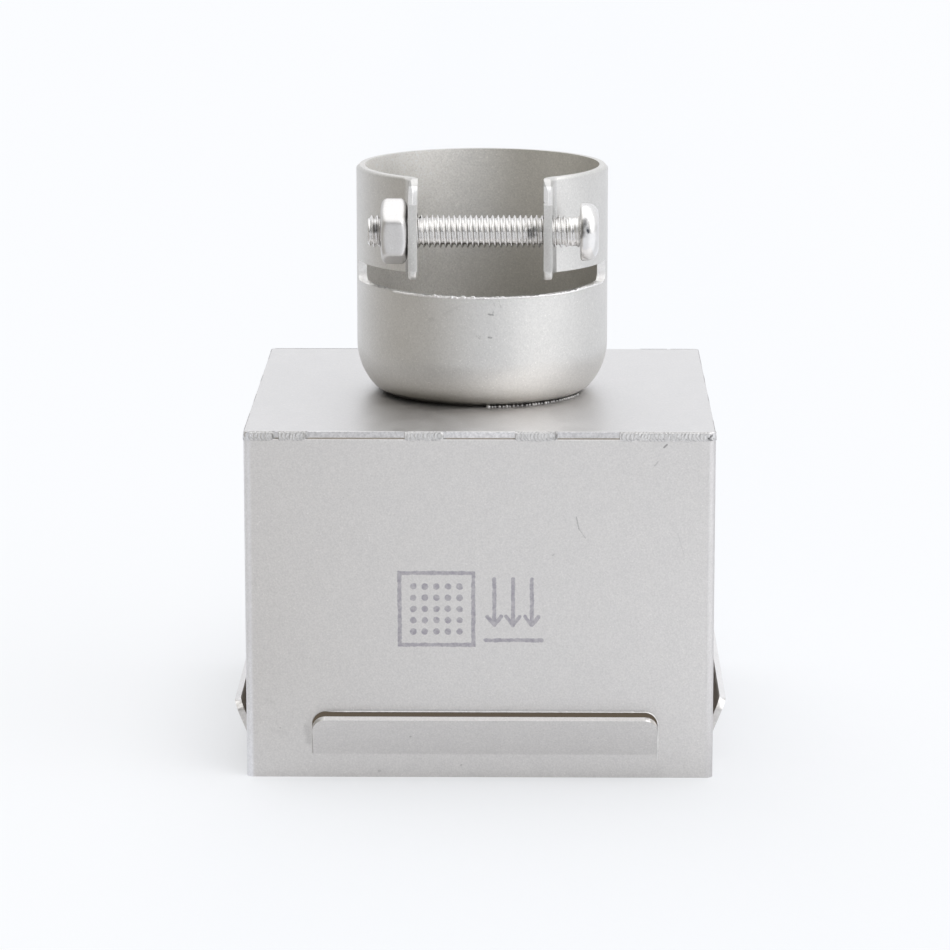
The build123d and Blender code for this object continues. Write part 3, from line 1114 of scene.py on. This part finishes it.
def makeNut():
    shape = nutShape
    bm = bmesh.new()
    thick = nutHigh.x - nutLow.x
    count = shape["around"]

    def outer(depth):
        cone = shape["seat"] + min(depth, thick - depth) / shape["chamferRise"]

        def radius(turn):
            # the hexagon's corners lie at its turn, measured from the front
            fromFlat = (pi - turn - radians(shape["turn"])) % radians(60) - radians(30)
            return min(shape["flats"] / 2 / cos(fromFlat), cone)
        return radius

    width = (shape["seat"] - shape["bore"]) / (shape["faceRings"] - 1)
    rows = [ringRow(bm, nutLow.x, shape["bore"] + width * i, count) for i in range(shape["faceRings"])]
    for i in range(1, shape["along"]):
        depth = thick * i / shape["along"]
        rows.append(ringRow(bm, nutLow.x + depth, outer(depth), count))
    rows += [ringRow(bm, nutHigh.x, shape["seat"] - width * i, count) for i in range(shape["faceRings"])]
    joinRows(bm, rows + [rows[0]])
    soft = [v for row in rows[2:-2] for v in row]
    for i in range(shape["softening"]):
        bmesh.ops.smooth_vert(bm, verts=soft, factor=0.5, use_axis_x=True, use_axis_y=True, use_axis_z=True)
    finishMesh(bm, "clampNut", nutSteel, "clamp_nut")


# Stitch welds: overlapping pulses over the slit between roof and wall
seamWeld = dict(
    fold=0.7 * mm,
    # millimetres along each side
    stitches=((-21.25, -18.42), (-18.12, -15.45), (-6.75, -3.0), (3.2, 7.05), (12.6, 21.95)),
    middle=31.78 * mm,
    below=0.48 * mm,
    pulse=0.48 * mm,
    spacing=0.33 * mm,
    rise=0.045 * mm,
    ring=0.065 * mm,
    uneven=0.012 * mm,
    unevenSize=0.12 * mm,
    sunk=-0.07 * mm,
    mesh=0.04 * mm,
    frontSlope=0.5,
    sideSlope=0.19,
)


def foldPoint(side, along, out, z):
    # a point over the wall's outside, along a side from its middle and on round the fold
    fold = seamWeld["fold"]
    flat = outerHalf - fold
    if abs(along) <= flat:
        a, b = along, outerHalf + out
    else:
        turn = (abs(along) - flat) / fold
        a = copysign(flat + (fold + out) * sin(turn), along)
        b = flat + (fold + out) * cos(turn)
    x, y = a, -b
    for i in range(side):
        x, y = -y, x
    return Vector((x, y, z))


def pulseHeight(pulses, along, across):
    # the last pulse over a point shapes it: a dished disc with a raised ring
    for middle, height, radius in pulses:
        away = hypot(along - middle, across - height) / radius
        if away < 1:
            dish = seamWeld["ring"] * (away ** 3 - 0.35)
            edge = min(1.0, (1 - away) / 0.2)
            return (seamWeld["rise"] + dish) * sqrt(edge)
    return None


def addStitch(bm, first, last, middle, low, high, rng, point):
    # a grid over one stitch, from first to last along the seam and from low to high across it
    weld = seamWeld
    pulses = []
    spot = first + weld["pulse"] * 0.7
    while spot < last - weld["pulse"] * 0.7:
        height = middle + rng.uniform(-0.05, 0.05) * mm
        pulses.append((spot, height, weld["pulse"] * rng.uniform(0.88, 1.06)))
        spot += weld["spacing"] * rng.uniform(0.8, 1.2)
    pulses.reverse()
    steps = int((last - first) / weld["mesh"])
    across = int((high - low) / weld["mesh"])
    rows = []
    for i in range(steps + 1):
        along = first + (last - first) * i / steps
        row = []
        for j in range(across + 1):
            off = low + (high - low) * j / across
            height = pulseHeight(pulses, along, off)
            out = weld["sunk"]
            if height is not None and i not in (0, steps) and j not in (0, across):
                spotNoise = noise.noise(Vector((along, off, middle)) / weld["unevenSize"])
                out = height + weld["uneven"] * spotNoise
            row.append(bm.verts.new(point(along, off, out)))
        rows.append(row)
    joinRows(bm, rows, closed=False)


def makeSeamWeld(side, node):
    rng = random.Random(40 + side)
    bm = bmesh.new()
    onSide = side % 2
    slope = seamWeld["sideSlope"] if onSide else seamWeld["frontSlope"]

    def point(along, z, out):
        # the bead ends flush with the roof, and on the sides it keeps inside the roof's outline
        if onSide or z > roofHigh.z - 0.12 * mm:
            out = min(out, (roofHigh.z - z) * slope - plateInset)
        return foldPoint(side, along, out, z)

    middle = seamWeld["middle"]
    low, high = middle - seamWeld["below"], roofHigh.z + 0.01 * mm
    for first, last in seamWeld["stitches"]:
        addStitch(bm, first * mm, last * mm, middle, low, high, rng, point)
    finishMesh(bm, node + "_beads", weldSteel, node)


# Stitches down the butt seam at the rear left corner
cornerWeld = dict(
    middle=-20.65 * mm,
    half=0.36 * mm,
    heights=(5.25 * mm, 15.75 * mm, 26.25 * mm),
    length=4.6 * mm,
)


def makeCornerWeld():
    rng = random.Random(50)
    bm = bmesh.new()
    weld = cornerWeld

    def point(along, off, out):
        return Vector((off, outerHalf + out, along))

    low, high = weld["middle"] - weld["half"], weld["middle"] + weld["half"]
    for z in weld["heights"]:
        first, last = z - weld["length"] / 2, z + weld["length"] / 2
        addStitch(bm, first, last, weld["middle"], low, high, rng, point)
    finishMesh(bm, "cornerWeldBeads", cornerSteel, "corner_seam_weld")


# Root of the seam, melted metal a little way inside the slit
seamRoot = dict(
    out=-0.11 * mm,
    uneven=0.04 * mm,
    unevenSize=0.6 * mm,
    step=0.25 * mm,
    short=1.0 * mm,  # how far it stops from the corners
    heights=(wallTop - 0.02 * mm, wallTop + 0.12 * mm),
)


def makeSeamRoot():
    bm = bmesh.new()
    root = seamRoot
    reach = outerHalf - root["short"]
    steps = int(2 * reach / root["step"])
    for side in range(4):
        rows = []
        for i in range(steps + 1):
            along = -reach + 2 * reach * i / steps
            out = root["out"] + root["uneven"] * unevenness(along / root["unevenSize"], side, 5.0)
            rows.append([bm.verts.new(foldPoint(side, along, out, z)) for z in root["heights"]])
        joinRows(bm, rows, closed=False)
    finishMesh(bm, "seamRoot", rootSteel)


# Foot weld: small beads where the cup meets the roof
footWeld = dict(
    out=0.02 * mm,
    up=0.03 * mm,
    beads=((4.0, 72.0), (184.0, 252.0)),  # degrees from the front towards the right
    step=2.05,
    size=0.17 * mm,
    firstSize=1.45,
    stretch=(1.0, 1.0, 0.8),
    around=10,
    rings=6,
)


def addBlob(bm, middle, size, seed):
    around, rings, stretch = footWeld["around"], footWeld["rings"], footWeld["stretch"]
    rows = []
    for i in range(1, rings):
        tilt = pi * i / rings
        row = []
        for j in range(around):
            turn = 2 * pi * j / around
            way = Vector((sin(tilt) * cos(turn), sin(tilt) * sin(turn), cos(tilt)))
            bulge = 1 + 0.25 * noise.noise(way * 1.5 + Vector((seed, 0, 0)))
            row.append(bm.verts.new(middle + Vector([c * size * bulge * s for c, s in zip(way, stretch)])))
        rows.append(row)
    top = Vector((0, 0, size * stretch[2]))
    closeRows(bm, rows, (middle + top, middle - top))


def makeFootWeld(footRadius):
    rng = random.Random(12)
    bm = bmesh.new()
    weld = footWeld
    for first, last in weld["beads"]:
        angle = first
        while angle < last:
            a = radians(angle)
            r = footRadius + weld["out"] + rng.uniform(-0.04, 0.06) * mm
            size = weld["size"] * (weld["firstSize"] if angle == first else rng.uniform(0.65, 1.15))
            middle = Vector((r * sin(a), -r * cos(a), roofHigh.z + weld["up"]))
            addBlob(bm, middle, size, angle)
            angle += weld["step"] * rng.uniform(0.75, 1.3)
    finishMesh(bm, "cupWeldBeads", weldSteel, "cup_weld")


# Burr on the lip over each louver, from the left of its top round to the right-hand cut
lipBurr = dict(
    left=-13.9 * mm,
    right=16.25 * mm,
    top=6.15 * mm,
    corner=1.2 * mm,
    foot=1.6 * mm,
    radius=0.062 * mm,
    uneven=0.45,
    unevenSize=0.5 * mm,
    step=0.12 * mm,
    around=8,
    endSteps=12,
)


def makeLipBurr():
    shape = lipBurr
    bm = bmesh.new()
    corner = shape["corner"]
    straight = shape["right"] - corner - shape["left"]
    arc = pi / 2 * corner
    total = straight + arc + shape["top"] - corner - shape["foot"]
    steps = int(total / shape["step"])
    for side in range(4):
        rows = []
        for i in range(steps + 1):
            way = total * i / steps
            turn = min(max(way - straight, 0.0), arc) / corner
            along = shape["left"] + min(way, straight) + corner * sin(turn)
            z = shape["top"] - corner * (1 - cos(turn)) - max(0.0, way - straight - arc)
            rough = unevenness(way / shape["unevenSize"], side, 2.0)
            size = shape["radius"] * (1 + shape["uneven"] * rough)
            size *= min(1.0, (i + 1) / shape["endSteps"], (steps - i + 1) / shape["endSteps"])
            row = []
            for j in range(shape["around"]):
                a = 2 * pi * j / shape["around"]
                lift, out = size * cos(a), size * sin(a)
                place = foldPoint(side, along + lift * sin(turn), out, z + lift * cos(turn))
                row.append(bm.verts.new(place))
            rows.append(row)
        closeRows(bm, rows)
    finishMesh(bm, "lipBurr", burrSteel)


print("studio")
makeCamera()
makeFloor()
makeSky()

print("materials")
wallSteel = wallMaterial()
roofSteel = roofMaterial()
cupSteel = cupMaterial()
nutSteel = blastedMaterial("blastedNut", nutFinish)
weldSteel = weldMaterial("weldMetal")
cornerSteel = weldMaterial("cornerWeldMetal", upright=True)
burrSteel = blastedMaterial("burrMetal", burrFinish)
rootSteel = blastedMaterial("seamRootMetal", rootFinish)
traySteel = blastedMaterial("traySheet", trayFinish)
screwPlating = platedMaterial()

print("sheet pieces")
makeWalls()
makeRoof()
footRadius = makeCup()
makeSlotBurr()
makeLipBurr()

print("clamp")
makeScrew()
makeNut()

print("welds")
for side, name in enumerate(("front", "right", "rear", "left")):
    makeSeamWeld(side, name + "_seam_weld")
makeCornerWeld()
makeSeamRoot()
makeFootWeld(footRadius)

for node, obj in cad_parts.items():
    obj.data.materials.clear()
    obj.data.materials.append(traySteel if node == "diffuser_tray" else wallSteel)
